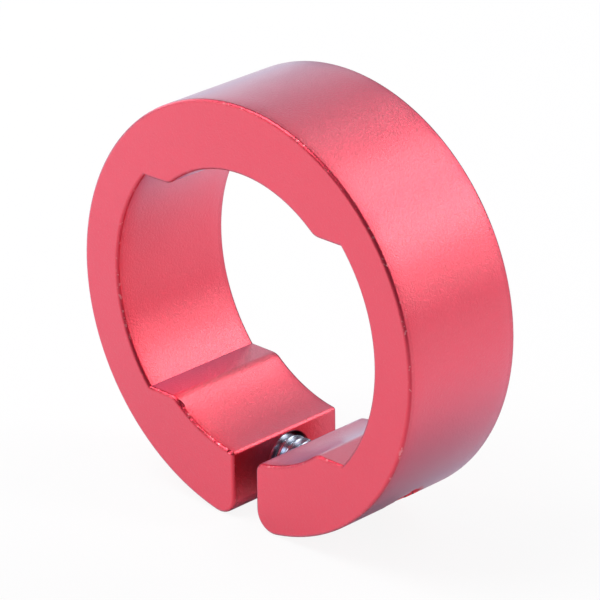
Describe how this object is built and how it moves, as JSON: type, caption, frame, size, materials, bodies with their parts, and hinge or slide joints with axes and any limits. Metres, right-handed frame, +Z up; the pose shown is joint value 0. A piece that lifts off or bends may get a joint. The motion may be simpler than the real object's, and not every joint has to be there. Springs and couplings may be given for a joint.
{
  "type": "grip lock ring",
  "caption": "Slit metal clamp ring that locks a handlebar grip to the bar, with two side recesses in its bore and a cross screw that closes the slit.",
  "frame": {"origin": "on the axis of the bar, half way along the ring", "axes": "+Y along the bar, away from the face that the picture shows; +Z up, away from the slit; +X from the lug that holds the screw's head to the tapped lug"},
  "size_m": [0.033, 0.011, 0.0327],
  "materials": {
    "anodised_ring": "bead-blasted and red anodised, satin",
    "steel_screw": "bright plated steel"
  },
  "bodies": {
    "ring": {"clamp_ring": "anodised_ring"},
    "screw": {"clamp_screw": "steel_screw"}
  },
  "joints": [
    {"name": "screw_turn", "type": "hinge", "parent": "ring", "child": "screw", "pos_m": [-0.0045, 0.00035, -0.0136], "axis": [1, 0, 0], "range_deg": [-360, 180]}
  ]
}
